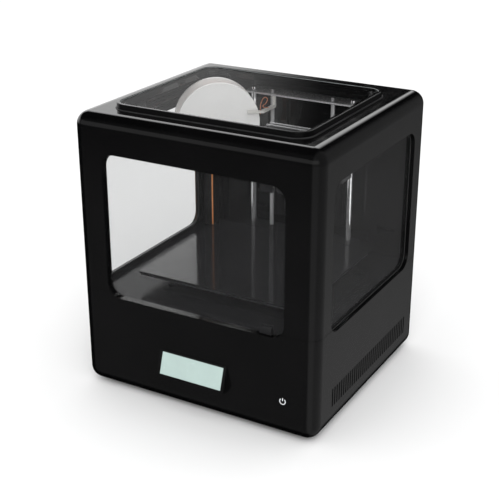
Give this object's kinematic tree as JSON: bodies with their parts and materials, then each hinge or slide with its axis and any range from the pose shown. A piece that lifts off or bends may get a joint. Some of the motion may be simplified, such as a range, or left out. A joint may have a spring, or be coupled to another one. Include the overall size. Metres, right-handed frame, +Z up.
{
  "type": "fdm 3d printer",
  "caption": "Enclosed desktop 3-D printer: gloss black housing glazed on the front, sides and lid, with a lifting bed, a print head on crossed rods and a filament spool inside.",
  "frame": {"origin": "on the ground under the middle of the whole outline", "axes": "+Z up, -Y out of the front with the display, +X to the right seen from the front"},
  "size_m": [0.46, 0.4422, 0.5144],
  "materials": {
    "gloss_shell": "gloss black",
    "lid_black": "gloss black",
    "clear_pane": "clear",
    "foot_rubber": "matt",
    "steel_sheet": "satin",
    "floor_black": "gloss",
    "screen": "pale green-blue, lit",
    "circuit_board": "green solder mask",
    "moulded_black": "fine texture",
    "supply_case": "satin",
    "ground_rod": "polished",
    "bright_bracket": "satin",
    "motor": "satin black",
    "belt": "matt",
    "screw_steel": "satin",
    "button_cap": "gloss black",
    "lead_screw": "bright",
    "brass": "machined",
    "black_metal": "satin black",
    "heater_alloy": "satin",
    "plate_glass": "gloss black",
    "head_black": "fine texture",
    "sink_alloy": "machined",
    "guide_pale": "smooth",
    "spool_white": "smooth",
    "filament_copper": "copper-coloured, silky"
  },
  "bodies": {
    "housing": {"upper_housing": "gloss_shell", "base_housing": "gloss_shell", "base_plate": "steel_sheet", "rubber_feet": "foot_rubber", "chamber_floor": "floor_black", "right_window": "clear_pane", "left_window": "clear_pane", "display_bezel": "lid_black", "display_screen": "screen", "rear_panel": "steel_sheet", "inlet_module": "moulded_black", "power_supply": "supply_case", "circuit_boards": "circuit_board", "filament_guide": "guide_pale", "filament_end": "filament_copper", "z_rods": "ground_rod", "z_upper_bracket": "bright_bracket", "z_motors": "motor", "y_rods": "ground_rod", "y_rod_blocks": "moulded_black", "y_motor": "motor", "y_belts": "belt", "spool_post": "black_metal", "housing_screws": "screw_steel"},
    "door": {"door_pane": "clear_pane", "door_pivots": "black_metal"},
    "lid": {"lid_frame": "lid_black", "lid_glass": "clear_pane"},
    "power_button": {"power_button": "button_cap"},
    "switch_rocker": {"switch_rocker": "moulded_black"},
    "bed": {"bed_carrier": "black_metal", "bed_bearings": "bright_bracket", "lift_nuts": "brass", "heated_bed": "heater_alloy", "build_plate": "plate_glass"},
    "left_lift_screw": {"left_lift_screw": "lead_screw"},
    "right_lift_screw": {"right_lift_screw": "lead_screw"},
    "gantry": {"slider_right": "moulded_black", "slider_left": "moulded_black", "x_rods": "ground_rod", "x_motor": "motor", "x_belt": "belt"},
    "y_cross_shaft": {"y_cross_shaft": "lead_screw"},
    "left_y_idler": {"left_y_idler": "heater_alloy"},
    "right_y_idler": {"right_y_idler": "heater_alloy"},
    "print_head": {"x_carriage": "head_black", "x_bushes": "brass", "extruder_body": "head_black", "extruder_motor": "motor", "heat_sink": "sink_alloy", "heat_block": "heater_alloy", "nozzle": "brass", "head_fan_frame": "moulded_black"},
    "x_drive_pulley": {"x_drive_pulley": "heater_alloy"},
    "x_idler": {"x_idler": "heater_alloy"},
    "drive_gear": {"drive_gear": "lead_screw"},
    "idler_lever": {"idler_lever": "sink_alloy"},
    "head_fan_rotor": {"head_fan_rotor": "moulded_black"},
    "spool": {"spool": "spool_white", "filament_winding": "filament_copper"}
  },
  "joints": [
    {"name": "door_hinge", "type": "hinge", "parent": "housing", "child": "door", "pos_m": [0.135, -0.1962, 0.1825], "axis": [0, 0, 1], "range_deg": [0, 110]},
    {"name": "lid_lift", "type": "slide", "parent": "housing", "child": "lid", "axis": [0, 0, 1], "range_m": [0, 0.12]},
    {"name": "power_press", "type": "slide", "parent": "housing", "child": "power_button", "axis": [0, 1, 0], "range_m": [0, 0.0015], "stiffness_N_per_m": 400, "springref_m": -0.0005},
    {"name": "mains_rocker", "type": "hinge", "parent": "housing", "child": "switch_rocker", "pos_m": [0.08, 0.2121, 0.099], "axis": [0, 0, 1], "range_deg": [-18, 0]},
    {"name": "bed_lift", "type": "slide", "parent": "housing", "child": "bed", "axis": [0, 0, 1], "range_m": [0, 0.138]},
    {"name": "left_screw_turn", "type": "hinge", "parent": "housing", "child": "left_lift_screw", "pos_m": [-0.0625, 0.1846, 0.3], "axis": [0, 0, 1], "range_deg": [-6215, 0]},
    {"name": "right_screw_turn", "type": "hinge", "parent": "housing", "child": "right_lift_screw", "pos_m": [0.0625, 0.1846, 0.3], "axis": [0, 0, 1], "range_deg": [-6215, 0]},
    {"name": "gantry_slide", "type": "slide", "parent": "housing", "child": "gantry", "axis": [0, 1, 0], "range_m": [-0.04, 0.072]},
    {"name": "cross_shaft_turn", "type": "hinge", "parent": "housing", "child": "y_cross_shaft", "pos_m": [0, -0.1784, 0.47], "axis": [1, 0, 0], "range_deg": [-592, 330]},
    {"name": "left_y_idler_turn", "type": "hinge", "parent": "housing", "child": "left_y_idler", "pos_m": [-0.218, 0.1896, 0.47], "axis": [1, 0, 0], "range_deg": [-592, 330]},
    {"name": "right_y_idler_turn", "type": "hinge", "parent": "housing", "child": "right_y_idler", "pos_m": [0.218, 0.1896, 0.47], "axis": [1, 0, 0], "range_deg": [-592, 330]},
    {"name": "head_slide", "type": "slide", "parent": "gantry", "child": "print_head", "axis": [1, 0, 0], "range_m": [-0.224, 0]},
    {"name": "x_pulley_turn", "type": "hinge", "parent": "gantry", "child": "x_drive_pulley", "pos_m": [0.182, -0.0544, 0.458], "axis": [0, 0, 1], "range_deg": [-1840, 0]},
    {"name": "x_idler_turn", "type": "hinge", "parent": "gantry", "child": "x_idler", "pos_m": [-0.18, -0.0544, 0.458], "axis": [0, 0, 1], "range_deg": [-1840, 0]},
    {"name": "drive_gear_turn", "type": "hinge", "parent": "print_head", "child": "drive_gear", "pos_m": [0.1296, -0.0874, 0.415], "axis": [0, 1, 0], "continuous": true},
    {"name": "idler_lever_press", "type": "hinge", "parent": "print_head", "child": "idler_lever", "pos_m": [0.149, -0.0874, 0.402], "axis": [0, 1, 0], "range_deg": [0, 8], "stiffness_Nm_per_rad": 0.8, "springref_deg": -8.59},
    {"name": "head_fan_spin", "type": "hinge", "parent": "print_head", "child": "head_fan_rotor", "pos_m": [0.136, -0.1084, 0.3785], "axis": [0, 1, 0], "continuous": true},
    {"name": "spool_spin", "type": "hinge", "parent": "housing", "child": "spool", "pos_m": [-0.119, 0.0816, 0.425], "axis": [0.6428, -0.766, 0], "continuous": true}
  ],
  "couplings": [
    {"joint": "left_screw_turn", "follows": "bed_lift", "rad_per_m": -785.4},
    {"joint": "right_screw_turn", "follows": "bed_lift", "rad_per_m": -785.4},
    {"joint": "cross_shaft_turn", "follows": "gantry_slide", "rad_per_m": -142.86},
    {"joint": "left_y_idler_turn", "follows": "gantry_slide", "rad_per_m": -142.86},
    {"joint": "right_y_idler_turn", "follows": "gantry_slide", "rad_per_m": -142.86},
    {"joint": "x_pulley_turn", "follows": "head_slide", "rad_per_m": 142.86},
    {"joint": "x_idler_turn", "follows": "head_slide", "rad_per_m": 142.86}
  ]
}
